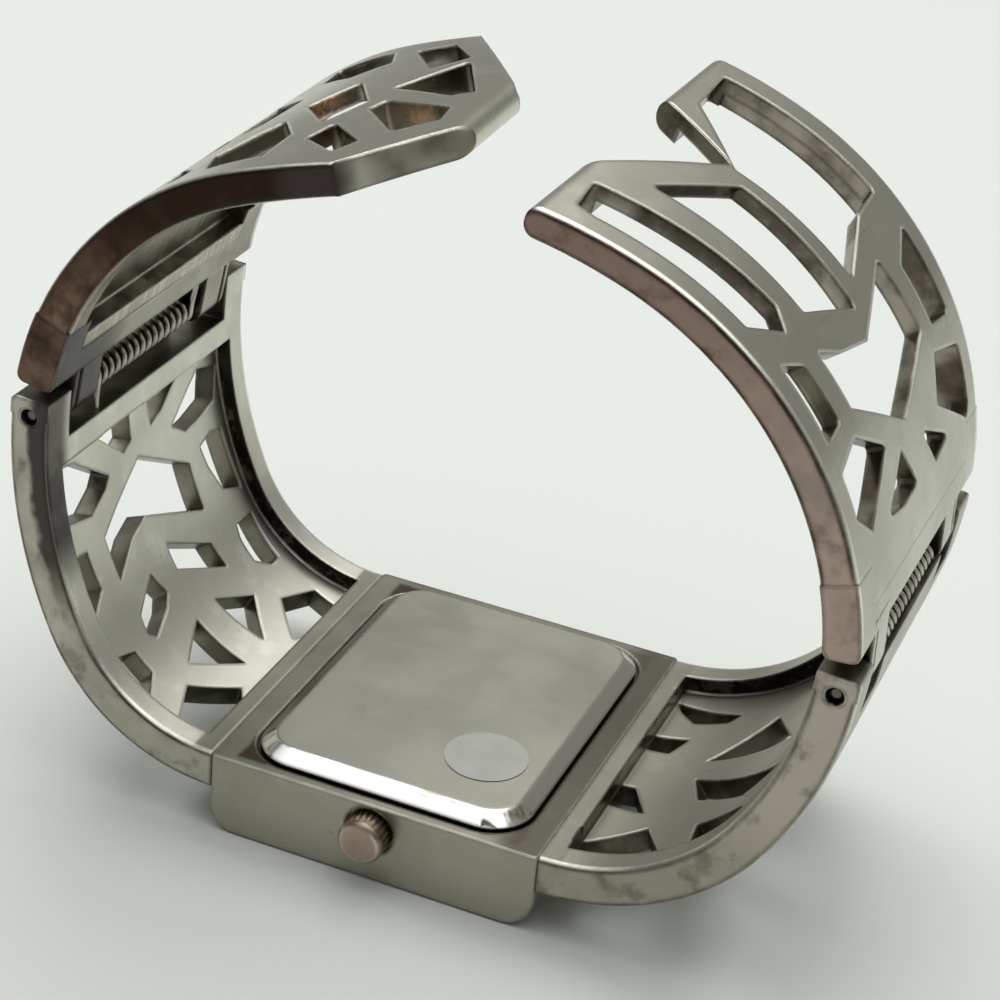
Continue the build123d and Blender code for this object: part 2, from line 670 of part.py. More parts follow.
def hour_markers():
    """Twelve bars round the dial, each turned to point at its centre."""
    reach_x = dial_window_length / 2 - marker_edge_gap - marker_length / 2
    reach_y = dial_window_width / 2 - marker_edge_gap - marker_length / 2
    bars = []
    for index in range(marker_count):
        angle = 2 * pi * index / marker_count
        scale = 1 / max(abs(cos(angle)) / reach_x, abs(sin(angle)) / reach_y)
        x, y = -scale * cos(angle), -scale * sin(angle)
        bar = Box(marker_length, marker_width, marker_thickness, align=(Align.CENTER, Align.CENTER, Align.MAX))
        bars.append(Pos(x, y, dial_front_z) * Rot(0, 0, degrees(atan2(y, x))) * bar)
    return Compound(children=bars)


def hand(length, width, low_z, clock_degrees):
    """A tapered hand from its tail to its tip, pointing at a clock angle seen from the front."""
    half_tip = hand_tip_share * width / 2
    outline = [(-hand_tail, -width / 2), (length, -half_tip), (length, half_tip), (-hand_tail, width / 2)]
    face = make_face(Polyline(*outline, close=True))
    blade = extrude(Pos(0, 0, low_z) * face, amount=hand_thickness)
    return Rot(0, 0, 180 + clock_degrees) * blade


def minute_hand():
    clock_degrees = 360 * shown_minutes / 60
    piece = hand(minute_hand_length, minute_hand_width, minute_hand_z, clock_degrees)
    piece += rod(hour_tube_radius, (0, 0, minute_hand_z), (0, 0, 1), hand_thickness)
    return piece + rod(minute_post_radius, (0, 0, minute_hand_z), (0, 0, 1), minute_post_end - minute_hand_z)


def hour_hand():
    clock_degrees = 360 * (shown_hours + shown_minutes / 60) / 12
    piece = hand(hour_hand_length, hour_hand_width, hour_hand_z, clock_degrees)
    piece += rod(hour_tube_radius, (0, 0, hour_hand_z), (0, 0, 1), hour_tube_end - hour_hand_z)
    bore_radius = minute_post_radius + hand_running_gap
    return piece - rod(bore_radius, (0, 0, 0), (0, 0, 1), case_height)


def movement():
    """The quartz module: room for the battery, the hands' posts, the stem and the setting lever."""
    body = rounded_plate(movement_length, movement_width, movement_radius, dial_back_z, movement_back_z)
    pocket_z = movement_back_z - battery_thickness
    body -= rod(battery_radius + loose_gap, (battery_x, battery_y, pocket_z), (0, 0, 1),
                battery_thickness + overrun)
    body -= rod(hour_tube_radius + hand_running_gap, (0, 0, 0), (0, 0, 1), hour_tube_end + hand_gap)
    body -= rod(minute_post_radius + hand_running_gap, (0, 0, 0), (0, 0, 1), minute_post_end + hand_gap)
    body -= rod(stem_radius + tube_gap, (0, -movement_width, crown_height), (0, 1, 0),
                movement_width + stem_end_y + tube_gap)
    reach_x = lever_width / 2 + lever_gap
    reach_y = lever_thickness / 2 + lever_gap
    body -= block((-reach_x, lever_y - crown_pull - reach_y, crown_height - lever_height / 2),
                  (reach_x, lever_y + reach_y, movement_back_z + overrun))
    return body


def battery():
    return rod(battery_radius, (battery_x, battery_y, movement_back_z - battery_thickness),
               (0, 0, 1), battery_thickness)


def movement_ring():
    """The plastic ring that centres the module in the case, with a notch for the stem."""
    ring = rounded_plate(cavity_length - 2 * loose_gap, cavity_width - 2 * loose_gap,
                         cavity_radius - loose_gap, dial_back_z, movement_back_z)
    ring -= rounded_plate(movement_length + loose_gap, movement_width + loose_gap, movement_radius,
                          dial_back_z - overrun, movement_back_z + overrun)
    return ring - rod(tube_outer_radius, (0, -cavity_width, crown_height), (0, 1, 0), cavity_width)


def crown_tube():
    wall_y = -cavity_width / 2
    face_y = -case_width / 2 - tube_stand
    tube = rod(tube_outer_radius, (0, face_y, crown_height), (0, 1, 0), wall_y - face_y)
    return tube - rod(tube_bore_radius, (0, face_y - overrun, crown_height), (0, 1, 0), case_width)


def crown():
    """The fluted crown, bored for the tube and the stem."""
    knob = rod(crown_radius, (0, crown_face_y, crown_height), (0, 1, 0), crown_length)
    rims = knob.edges().filter_by(GeomType.CIRCLE).sort_by(Axis.Y)
    knob = knob.chamfer(crown_chamfer, None, rims[:1])
    for index in range(crown_flutes):
        angle = 2 * pi * index / crown_flutes
        spot = (crown_radius * cos(angle), stem_start_y, crown_height + crown_radius * sin(angle))
        knob -= rod(flute_radius, spot, (0, 1, 0), crown_length)
    knob -= rod(tube_outer_radius + tube_gap, (0, crown_back_y - crown_bore_depth, crown_height), (0, 1, 0),
                crown_bore_depth + overrun)
    return knob - rod(stem_radius + pin_press_gap, (0, stem_start_y, crown_height), (0, 1, 0), crown_length)


def stem():
    """The winding stem, with a groove for the setting lever near its inner end."""
    shaft = rod(stem_radius, (0, stem_start_y, crown_height), (0, 1, 0), stem_end_y - stem_start_y)
    groove_y = lever_y - stem_groove_width / 2
    groove = rod(stem_radius + overrun, (0, groove_y, crown_height), (0, 1, 0), stem_groove_width)
    core = rod(stem_groove_radius, (0, groove_y, crown_height), (0, 1, 0), stem_groove_width)
    return shaft - groove + core


def setting_lever():
    """The small fork that sits in the stem's groove and slides with it."""
    half_gap = stem_groove_radius + hand_running_gap
    low_y, high_y = lever_y - lever_thickness / 2, lever_y + lever_thickness / 2
    low_z = crown_height - lever_height / 2
    fork = block((-lever_width / 2, low_y, low_z), (lever_width / 2, high_y, movement_back_z))
    slot = block((-half_gap, low_y, low_z), (half_gap, high_y, crown_height))
    eye = rod(half_gap, (0, low_y, crown_height), (0, 1, 0), lever_thickness)
    return fork.cut(slot, eye)


os.makedirs("parts", exist_ok=True)
nodes = {
    "case_body": case_body(),
    "crystal": crystal(),
    "crystal_gasket": crystal_gasket(),
    "case_back": case_back(),
    "case_back_gasket": case_back_gasket(),
    "dial": dial(),
    "hour_markers": hour_markers(),
    "hour_hand": hour_hand(),
    "minute_hand": minute_hand(),
    "movement": movement(),
    "movement_ring": movement_ring(),
    "battery": battery(),
    "crown_tube": crown_tube(),
    "crown": crown(),
    "stem": stem(),
    "setting_lever": setting_lever(),
    "left_side_band": mirrored(side_band(left, left_side_shares)),
    "right_side_band": side_band(right, right_side_shares),
    "left_arm": mirrored(arm_casting(left, left_arm_shares, left_recess_end, left_end_cutters())),
    "right_arm": arm_casting(right, right_arm_shares, right_recess_end, right_end_cutters()),
    "left_hinge_block": mirrored(hinge_block(left)),
    "right_hinge_block": hinge_block(right),
    "left_hinge_pin": mirrored(hinge_pin(left)),
    "right_hinge_pin": hinge_pin(right),
    "left_hinge_spring": mirrored(hinge_spring(left)),
    "right_hinge_spring": hinge_spring(right),
}
for name, shape in nodes.items():
    export_step(shape, "parts/" + name + ".step")
print(len(nodes), "nodes; pins at x", round(-left.pin.X, 3), "z", round(left.pin.Z, 3), "and x",
      round(right.pin.X, 3), "z", round(right.pin.Z, 3))
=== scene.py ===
from math import cos, radians, sin

import bpy
from mathutils import Matrix, Vector


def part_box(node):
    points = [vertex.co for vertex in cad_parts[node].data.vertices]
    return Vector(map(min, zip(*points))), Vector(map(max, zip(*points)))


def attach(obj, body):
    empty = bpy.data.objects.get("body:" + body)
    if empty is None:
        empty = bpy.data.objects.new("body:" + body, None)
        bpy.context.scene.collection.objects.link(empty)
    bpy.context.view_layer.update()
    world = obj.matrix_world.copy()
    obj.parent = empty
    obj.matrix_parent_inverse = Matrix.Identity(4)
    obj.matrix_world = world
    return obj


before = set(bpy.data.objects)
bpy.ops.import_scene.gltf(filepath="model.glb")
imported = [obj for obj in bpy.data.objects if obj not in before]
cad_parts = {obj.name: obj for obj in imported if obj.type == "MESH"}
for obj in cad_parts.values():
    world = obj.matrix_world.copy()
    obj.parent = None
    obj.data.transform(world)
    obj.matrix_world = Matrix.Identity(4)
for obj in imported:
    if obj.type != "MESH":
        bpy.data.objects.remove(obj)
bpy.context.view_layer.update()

# The photograph's camera, in metres, degrees and pixels
camera_azimuth = 20.841
camera_elevation = 27.633
camera_roll = 5.183
camera_distance = 0.180419
camera_shift_right = 0.000662
camera_shift_up = 0.01734
camera_lift = 0.006
camera_near = 0.001
camera_far = 10
image_size = 1000
focal_pixels = 2552.2
lens_shift = (0.0360, -0.0410)
sensor_width = 36

# Colours of the plated pieces, in the scene's linear values
nickel = (0.48, 0.465, 0.395)
nickel_light = (0.60, 0.585, 0.51)
nickel_dark = (0.36, 0.345, 0.285)
nickel_grey = (0.40, 0.38, 0.32)
nickel_warm = (0.47, 0.43, 0.37)
nickel_worn = (0.36, 0.33, 0.285)
nickel_dull = (0.30, 0.285, 0.235)
nickel_dull_dark = (0.19, 0.18, 0.145)
olive = (0.34, 0.32, 0.26)
rose = (0.44, 0.345, 0.285)
rose_dull = (0.31, 0.255, 0.21)
rose_deep = (0.26, 0.185, 0.15)
crown_rose = (0.44, 0.35, 0.27)
crown_rose_light = (0.80, 0.70, 0.56)
rail_brown = (0.28, 0.18, 0.125)
block_brown = (0.18, 0.12, 0.088)
brown = (0.13, 0.09, 0.065)
brown_deep = (0.045, 0.028, 0.02)
brown_black = (0.03, 0.018, 0.013)
copper = (0.98, 0.78, 0.58)
copper_dark = (0.46, 0.33, 0.225)
rib_brown = (0.20, 0.17, 0.13)
rib_light = (0.46, 0.43, 0.35)

# Colours of tarnish, and of painted shade, shadows, dark reflections and highlights
tarnish = (0.05, 0.037, 0.028)
# The tone of painted shade: painted shadows and dark reflections
painted_shade_tone = (0.028, 0.015, 0.011)
# A painted dark reflection along edges, and painted shade at the case rim's right end
shade_dark = (0.035, 0.027, 0.022)
# Painted highlights along edges and glints on the ribs; also the left side band's light patches
highlight_and_patch_white = (0.92, 0.90, 0.85)
# Painted shade on the walls under the rails
under_rail_shade_black = (0.025, 0.021, 0.017)
# Painted shadow: in the gap under the case back and in the pins' holes
shadow_black = (0.008, 0.007, 0.006)

# Colours of the steel pieces
steel = (0.385, 0.375, 0.32)
steel_light = (0.46, 0.455, 0.40)
steel_dark = (0.24, 0.23, 0.195)
spring_steel = (0.62, 0.60, 0.53)
spring_steel_light = (0.74, 0.72, 0.64)
bevel_satin = (0.50, 0.49, 0.43)
# A painted highlight on the case back's bevel, where it faces the front
bevel_highlight = (0.96, 0.96, 0.94)

# Pairs of a dark and a light tone: the hole walls of each band, and the small pieces
left_arm_walls = ((0.13, 0.12, 0.095), (0.42, 0.39, 0.33))
left_block_walls = ((0.07, 0.06, 0.05), (0.20, 0.18, 0.145))
right_arm_walls = ((0.12, 0.103, 0.082), (0.40, 0.37, 0.305))
left_side_walls = ((0.15, 0.14, 0.11), (0.27, 0.255, 0.205))
right_side_walls = ((0.10, 0.09, 0.07), (0.24, 0.22, 0.18))
glass = ((0.96, 0.97, 0.97), (1.0, 1.0, 1.0))
silver = ((0.66, 0.66, 0.64), (0.74, 0.74, 0.72))
marker_silver = ((0.62, 0.61, 0.58), (0.70, 0.69, 0.66))
hand_steel = ((0.30, 0.29, 0.28), (0.38, 0.37, 0.35))
rubber = ((0.022, 0.022, 0.021), (0.035, 0.035, 0.033))
plastic = ((0.62, 0.62, 0.58), (0.70, 0.70, 0.66))
gilt = ((0.52, 0.43, 0.25), (0.60, 0.56, 0.44))
paper = ((0.42, 0.43, 0.40), (0.47, 0.475, 0.445))

# Colours of the room
# The floor's front tone is painted shade
floor_shaded_front = (0.595, 0.59, 0.58)
floor_back = (0.69, 0.72, 0.69)
sky_grey = (0.80, 0.81, 0.79)

# Noise patterns: cells per metre, detail and roughness
cloud_noise = (110, 4, 0.55)
slow_noise = (150, 3, 0.5)
wall_noise = (240, 3, 0.5)
rim_noise = (260, 3, 0.55)
spark_noise = (300, 2, 0.55)
pit_noise = (300, 3, 0.6)
patch_noise = (330, 3, 0.55)
blot_noise = (420, 4, 0.6)
ragged_noise = (620, 4, 0.62)
line_breakup_noise = (700, 3, 0.6)
highlight_streak_noise = (700, 3, 0.6)
ring_noise = (900, 4, 0.62)
glint_noise = (2600, 4, 0.7)
grain_noise = (4200, 3, 0.65)
rib_noise = (5200, 3, 0.7)
pit_cells = 1500
fine_ratio = 8
fine_detail = 2
rib_stretch = (0.06, 1, 0.06)
highlight_streak_stretch = (0.2, 1.2, 1.2)

# Noise levels between which a tone starts and is full
cloud_levels = (0.36, 0.66)
gloss_levels = (0.3, 0.75)
patch_levels = (0.5, 0.75)
pit_dot_levels = (0.30, 0.08)
pit_levels = (0.55, 0.72)
line_breakup_levels = (0.3, 0.6)
rib_levels = (0.35, 0.65)
spark_levels = (0.58, 0.75)
spark_patch_levels = (0.5, 0.65)
under_levels = (0.40, 0.64)
blot_levels = (0.52, 0.70)
wall_levels = (0.40, 0.60)
glint_levels = (0.35, 0.65)
under_rail_levels = (0.62, 0.5)
tip_levels = (0.42, 0.62)
side_shadow_levels = (0.62, 0.45)
highlight_streak_levels = (0.66, 0.56)
plain_levels = (0.35, 0.65)
paper_levels = (0.3, 0.7)

# How much of a tone shows, at most or from least to most
cloud_share = 0.5
patch_share = 0.35
blot_share = 0.45
dark_end_share = 0.55
arc_share = 0.95
line_breakup_shares = (0.5, 1.0)
under_rail_shares = (0.55, 1.0)
side_shadow_shares = (0.8, 0.97)
ring_shares = (0.9, 0.3)

# How much each pattern counts where two are added
cloud_and_grain = (0.4, 0.15)
ragged_and_slow = (0.35, 0.65)
ragged_and_wall = (0.2, 0.8)
rib_and_slow = (0.6, 0.4)

# Cosines to a direction, between which a surface starts to face it or an edge starts to show
edge_turn = (0.995, 0.93)
bright_facing = (0.66, 0.78)
shade_facing = (0.62, 0.45)
wall_facing = (0.03, 0.15)
sideways_facing = (0.78, 0.5)
inward_facing = (-0.5, -0.7)
across_facing = (0.85, 0.95)
bar_top_facing = (0.8, 0.95)
case_top_facing = (0.5, 0.8)
bevel_foot_facing = (0.2, 0.4)
bevel_top_facing = (0.97, 0.93)
front_facing = (-0.15, -0.4)

# Strengths of the bumps, and of the painted highlight and dark reflection along edges
satin_strength = 0.22
fine_strength = 0.3
plate_lines = (0.7, 0.9)
crown_lines = (0.6, 0.2)

# Changes of the roughness, and how far painted shade takes the metal away
cloud_gloss = (-0.04, 0.06)
line_gloss = 0.12
bevel_gloss = 0.2
seam_dulling = 0.4
painted_shade_cover = 0.75

# Depths and sizes of the surface detail, in metres, and the samples for softened edges
edge_softness = 0.0004
edge_samples = 4
satin_depth = 0.00002
fine_depth = 0.000004
rail_rim = (0.00045, 0.0003)
rail_side = (0.0003, 0.0001)
glow_radii = (0.0031, 0.00248)
rib_fade = 0.003
tip_margins = (0.0005, 0.0003)
under_rail_margins = (0.0026, 0.0023)
bar_ends = (0.0136, 0.0133)
ring_edges = (0.0003, -0.0002)
ring_wander = 0.0006
seam_heights = (0.00016, 0.00008)
# The painted dark reflection along the left band's inner arc: its edges and wander
arc_edges = (0.0022, 0.0016)
arc_wander = 0.0012

# Places in metres where tones change: along X on the case, along Y and Z on the bands
# On the case: the rim's right end of painted shade, and the fading of the ring round the case back
dark_end_x = (0.008, 0.010)
ring_fade_x = (-0.002, 0.006)
left_rail_deep_z = (0.034, 0.044)
right_rail_deep_z = (0.036, 0.050)
right_side_warm_z = (0.008, 0.016)
rib_top_z = 0.044
# Painted shadows on the left hinge block and the left side band, along Y and from a height in Z
block_shadow_y = (-0.0040, -0.0090)
block_shadow_z = (0.018, 0.022)
side_shadow_y = (-0.0108, -0.0122)
side_shadow_z = (0.014, 0.019)
arc_reflection_z = (0.012, 0.018)
floor_tone_y = (-0.07, 0.01)

# Points on the bands: the wrist's axis, the left band's inner arc, coppery hole walls, a painted
# dark reflection below the left arm's tip, and the corners of that tip's outline
wrist_middle_z = 0.027
left_arc_middle = (0.0053, 0, 0.0254)
left_arc_radius = 0.0303
copper_walls = ((-0.0112, 0.0005, 0.0478), (-0.0064, -0.0046, 0.0492))
tip_reflection_middle = (-0.0068, -0.0139, 0.0485)
tip_reflection_radii = (0.0032, 0.00128)
tip_corners = ((-0.0058, -0.0139), (0.0, -0.0058), (-0.0003, 0.0015), (-0.0079, 0.0139))

# Shares of a pin's radius between which its end darkens into painted shade
pin_shine_shares = (0.4, 0.6)

# The blank sticker, the floor and the lamp, in metres and watts
sticker_middle = (0.0050, -0.0063)
sticker_radius = 0.0029
sticker_lift = 0.00005
sticker_sides = 64
floor_reach = 3.0
floor_roughness = 0.6
lamp_place = (-0.10, 0.20, 0.45)
lamp_target = (0, 0, 0.02)
lamp_size = 0.30
lamp_power = 0.5

# The sky along two axes: the direction where a change starts and ends, and its strength there
sky_steps = (("Y", -0.95, 0.35, 0.2, 1.0), ("Z", 0.5, 0.95, 0.44, 2.9))

half_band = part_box("left_side_band")[1].y


def camera():
    """The photograph's camera: an orbit round the object with a small roll."""
    azimuth, elevation = radians(camera_azimuth), radians(camera_elevation)
    roll = radians(camera_roll)
    back = Vector((sin(azimuth) * cos(elevation), -cos(azimuth) * cos(elevation), sin(elevation)))
    right = Vector((cos(azimuth), sin(azimuth), 0))
    up = back.cross(right)
    right, up = right * cos(roll) + up * sin(roll), up * cos(roll) - right * sin(roll)
    place = back * camera_distance + right * camera_shift_right + up * camera_shift_up
    place.z += camera_lift
    data = bpy.data.cameras.new("camera")
    data.sensor_width = sensor_width
    data.lens = focal_pixels / image_size * sensor_width
    data.shift_x, data.shift_y = lens_shift
    data.clip_start = camera_near
    data.clip_end = camera_far
    eye = bpy.data.objects.new("camera", data)
    turn = Matrix((right, up, back)).transposed().to_4x4()
    eye.matrix_world = Matrix.Translation(place) @ turn
    bpy.context.collection.objects.link(eye)
    bpy.context.scene.camera = eye


class Nodes:
    """A short way to write a material's node tree."""

    def __init__(self, name):
        self.material = bpy.data.materials.new(name)
        self.material.use_nodes = True
        self.tree = self.material.node_tree
        self.shader = self.tree.nodes["Principled BSDF"]

    def link(self, source, target):
        """Links a socket, or sets a plain number or colour on the target itself."""
        if isinstance(source, bpy.types.NodeSocket):
            self.tree.links.new(source, target)
        elif isinstance(source, tuple) and len(source) == 3 and target.type == "RGBA":
            target.default_value = (*source, 1)
        else:
            target.default_value = source

    def node(self, kind, inputs, **settings):
        made = self.tree.nodes.new(kind)
        for key, value in settings.items():
            setattr(made, key, value)
        for key, value in inputs.items():
            self.link(value, made.inputs[key])
        return made

    def place(self):
        return self.node("ShaderNodeTexCoord", {}).outputs["Object"]

    def normal(self):
        return self.node("ShaderNodeNewGeometry", {}).outputs["True Normal"]

    def vector(self, operation, first, second=(0, 0, 0)):
        made = self.node("ShaderNodeVectorMath", {0: first, 1: second}, operation=operation)
        gives_number = operation in ("DOT_PRODUCT", "DISTANCE", "LENGTH")
        return made.outputs["Value" if gives_number else "Vector"]

    def noise(self, vector, scale, detail=3, roughness=0.55):
        made = self.node("ShaderNodeTexNoise", {"Vector": vector, "Scale": scale,
                                                "Detail": detail, "Roughness": roughness})
        return made.outputs["Fac"]

    def spots(self, vector, scale):
        made = self.node("ShaderNodeTexVoronoi", {"Vector": vector, "Scale": scale})
        return made.outputs["Distance"]

    def band(self, value, start, end, low=0.0, high=1.0):
        """A smooth step from low to high while the input goes from start to end."""
        made = self.node("ShaderNodeMapRange",
                         {"Value": value, "From Min": start, "From Max": end,
                          "To Min": low, "To Max": high}, interpolation_type="SMOOTHSTEP")
        return made.outputs["Result"]

    def added(self, first, second, shares):
        """The sum of two inputs, each times its own share."""
        return self.maths("ADD", self.times(first, shares[0]), self.times(second, shares[1]))

    def maths(self, operation, first, second=0.0):
        return self.node("ShaderNodeMath", {0: first, 1: second}, operation=operation).outputs[0]

    def times(self, *values):
        product = values[0]
        for value in values[1:]:
            product = self.maths("MULTIPLY", product, value)
        return product

    def mix(self, share, first, second):
        made = self.node("ShaderNodeMix", {}, data_type="RGBA")
        self.link(share, made.inputs["Factor"])
        self.link(first, made.inputs[6])
        self.link(second, made.inputs[7])
        return made.outputs[2]

    def axis(self, vector, name):
        return self.node("ShaderNodeSeparateXYZ", {"Vector": vector}).outputs[name]

    def bump(self, height, distance, strength, normal=None):
        inputs = {"Height": height, "Distance": distance, "Strength": strength}
        if normal is not None:
            inputs["Normal"] = normal
        return self.node("ShaderNodeBump", inputs).outputs[0]

    def soft_edges(self):
        made = self.node("ShaderNodeBevel", {"Radius": edge_softness}, samples=edge_samples)
        return made.outputs[0]

    def set(self, **sockets):
        for key, value in sockets.items():
            self.link(value, self.shader.inputs[key.replace("_", " ")])


class Spot:
    """Where a point of a band lies and faces, as sockets that the band's paints share."""

    def __init__(self, n, place):
        self.place = place
        self.normal = n.normal()
        self.straight = n.vector("DOT_PRODUCT", self.normal, outward(n, place))
        self.side = n.axis(place, "Y")
        self.reach = n.maths("ABSOLUTE", self.side)
        self.rise = n.axis(place, "Z")
        self.sideways = n.band(n.maths("ABSOLUTE", self.straight), *sideways_facing)
        self.rail = n.times(self.sideways, near_side(n, self.reach, rail_side))
        self.hollow = n.maths("SUBTRACT", self.sideways, self.rail)
        self.slow = n.noise(place, *slow_noise)
        self.ragged = n.noise(place, *ragged_noise)
        self.blend = n.added(self.ragged, self.slow, ragged_and_slow)


def outward(n, place):
    """The direction from the wrist's axis to the surface point."""
    away = n.vector("SUBTRACT", n.vector("MULTIPLY", place, (1, 0, 1)), (0, 0, wrist_middle_z))
    return n.vector("NORMALIZE", away)


def near_side(n, reach, margins):
    """A step between two distances from the bands' outer sides."""
    start, end = margins
    return n.band(reach, half_band - start, half_band - end)


def pits(n, place):
    """Scattered small pits: dots of a cell pattern, kept only inside drifting patches."""
    dots = n.band(n.spots(place, pit_cells), *pit_dot_levels)
    return n.times(dots, n.band(n.noise(place, *pit_noise), *pit_levels))


def edge_lines(n, place, soft, strengths, face):
    """Painted lines along edges: a highlight on the face side, a dark reflection on the wall side.

    The face looks along the direction given. Without one it looks away from the wrist, and the
    rails' outer rims count as edges too.
    """
    edge = n.band(n.vector("DOT_PRODUCT", soft, n.normal()), *edge_turn)
    if not face:
        reach = n.maths("ABSOLUTE", n.axis(place, "Y"))
        edge = n.maths("MAXIMUM", edge, near_side(n, reach, rail_rim))
    facing = n.maths("ABSOLUTE", n.vector("DOT_PRODUCT", soft, face or outward(n, place)))
    # Noise breaks up the painted lines
    line_breakup = n.band(n.noise(place, *line_breakup_noise), *line_breakup_levels, *line_breakup_shares)
    bright = n.times(edge, line_breakup, n.band(facing, *bright_facing, 0.0, strengths[0]))
    shade = n.times(edge, line_breakup, n.band(facing, *shade_facing, 0.0, strengths[1]),
                    n.band(facing, *wall_facing))
    return bright, shade


def metal(name, colour, light, dark, roughness=0.34, dirt_and_shade=0.5, paint=None, edges=plate_lines,
          face=None):
    """Satin plated metal with slow cloudy tones, fine grain and pits, and a painted highlight and
    a painted dark reflection along edges.

    A paint takes the place, tone and roughness, and gives tone, roughness and a share of
    painted shade.
    """
    n = Nodes(name)
    place = n.place()
    cloud = n.noise(place, *cloud_noise)
    patches = n.band(n.noise(place, *patch_noise), *patch_levels, 0.0, patch_share)
    tone = n.mix(n.band(cloud, *cloud_levels, 0.0, cloud_share), colour, dark)
    tone = n.mix(patches, tone, light)
    low, high = cloud_gloss
    rough = n.band(cloud, *gloss_levels, roughness + low, roughness + high)
    height = n.added(cloud, n.noise(place, *grain_noise), cloud_and_grain)
    painted_shade = None
    if paint:
        tone, rough, painted_shade = paint(n, place, tone, rough)
    tone = n.mix(n.times(pits(n, place), dirt_and_shade), tone, tarnish)
    soft = n.soft_edges()
    if edges:
        # A painted highlight and a painted dark reflection along edges
        bright, shade = edge_lines(n, place, soft, edges, face)
        tone = n.mix(shade, n.mix(bright, tone, highlight_and_patch_white), shade_dark)
        rough = n.maths("SUBTRACT", rough, n.times(bright, line_gloss))
    shine = 1.0
    # Painted shade, from shadows and dark reflections: dark and less metallic
    if painted_shade is not None:
        tone = n.mix(painted_shade, tone, painted_shade_tone)
        shine = n.maths("SUBTRACT", 1.0, n.times(painted_shade, painted_shade_cover))
    n.set(Base_Color=tone, Metallic=shine, Roughness=rough,
          Normal=n.bump(height, satin_depth, satin_strength, soft))
    return n.material


def ribs(n, spot, tone, far, near, top):
    """A lined inner face below a height, with sparkling patches."""
    grain = n.noise(n.vector("MULTIPLY", spot.place, rib_stretch), *rib_noise)
    patch = n.band(n.noise(spot.place, *spark_noise), *spark_patch_levels)
    spark = n.times(n.band(grain, *spark_levels), patch)
    lined = n.mix(n.band(n.added(grain, spot.slow, rib_and_slow), *rib_levels), far, near)
    lined = n.mix(spark, lined, highlight_and_patch_white)
    below = n.band(spot.rise, top, top - rib_fade)
    inner = n.times(n.band(spot.straight, *inward_facing), below)
    return n.mix(inner, tone, lined)


def rail(n, spot, tone, worn, under, deep):
    """The rails' outer sides, worn to the base metal, blotted and with a second tone higher up."""
    side = n.mix(n.band(spot.blend, *under_levels), worn, under)
    if deep:
        far, heights = deep
        side = n.mix(n.band(spot.rise, *heights), side, far)
    blots = n.band(n.noise(spot.place, *blot_noise), *blot_levels, 0.0, blot_share)
    return n.mix(spot.rail, tone, n.mix(blots, side, tarnish))


def hole_walls(n, spot, tone, walls, glow):
    """Mottled hole walls, coppery round the places in glow."""
    cloudy = n.added(spot.ragged, n.noise(spot.place, *wall_noise), ragged_and_wall)
    wall = n.mix(n.band(cloudy, *wall_levels), *walls)
    for centre in glow:
        glint = n.band(n.noise(spot.place, *glint_noise), *glint_levels)
        near = n.band(n.vector("DISTANCE", spot.place, centre), *glow_radii)
        wall = n.mix(near, wall, n.mix(glint, copper_dark, copper))
    return n.mix(spot.hollow, tone, wall)


def under_rails(n, spot, tone, dark):
    """Painted shade on the inner walls of the rails, ragged by noise."""
    across = n.band(n.maths("ABSOLUTE", n.axis(spot.normal, "Y")), *across_facing)
    beside = near_side(n, spot.reach, under_rail_margins)
    dirt_and_shade = n.band(spot.ragged, *under_rail_levels, *under_rail_shares)
    return n.mix(n.times(spot.hollow, across, beside, dirt_and_shade), tone, dark)


def cut_face(n, spot, tone, first, second):
    """A tip's cut face, which lies on the line between two corners of the tip's outline."""
    along = (Vector(second) - Vector(first)).normalized()
    square = Vector((along.y, -along.x, 0))
    limit = square.dot(Vector((*first, 0)))
    past = n.vector("DOT_PRODUCT", spot.place, tuple(square))
    start, end = tip_margins
    cut = n.times(spot.hollow, n.band(past, limit - start, limit - end))
    return n.mix(cut, tone, n.mix(n.band(spot.slow, *tip_levels), nickel_light, steel_dark))


def end_bar(n, spot, tone, light):
    """The top of the bar that joins a side band to the case."""
    upward = n.band(n.axis(spot.normal, "Z"), *bar_top_facing)
    beside = n.band(n.maths("ABSOLUTE", n.axis(spot.place, "X")), *bar_ends)
    bar = n.mix(n.noise(spot.place, *rim_noise), nickel_dull_dark, light)
    return n.mix(n.times(upward, beside), tone, bar)


def tip_dark_reflection(n, spot, middle, radii):
    """Painted shade on the walls round a point: a dark reflection."""
    return n.times(n.band(n.vector("DISTANCE", spot.place, middle), *radii), spot.sideways)


def painted_side_shadow(n, spot, sides, heights):
    """A painted shadow by one side of the plate, from a height upward, with a ragged look."""
    plate = n.maths("SUBTRACT", 1.0, spot.rail)
    patch = n.times(n.band(spot.side, *sides), n.band(spot.rise, *heights), plate)
    return n.times(patch, n.band(spot.blend, *side_shadow_levels, *side_shadow_shares))


def arc_dark_reflection(n, spot, middle, radius, heights):
    """A painted dark reflection on the rail's outer side, along its inner arc."""
    across = n.vector("DISTANCE", n.vector("MULTIPLY", spot.place, (1, 0, 1)), middle)
    wander = n.times(spot.ragged, arc_wander)
    depth = n.maths("ADD", n.maths("SUBTRACT", across, radius), wander)
    near = n.band(depth, *arc_edges)
    return n.times(spot.rail, near, n.band(spot.rise, *heights), arc_share)


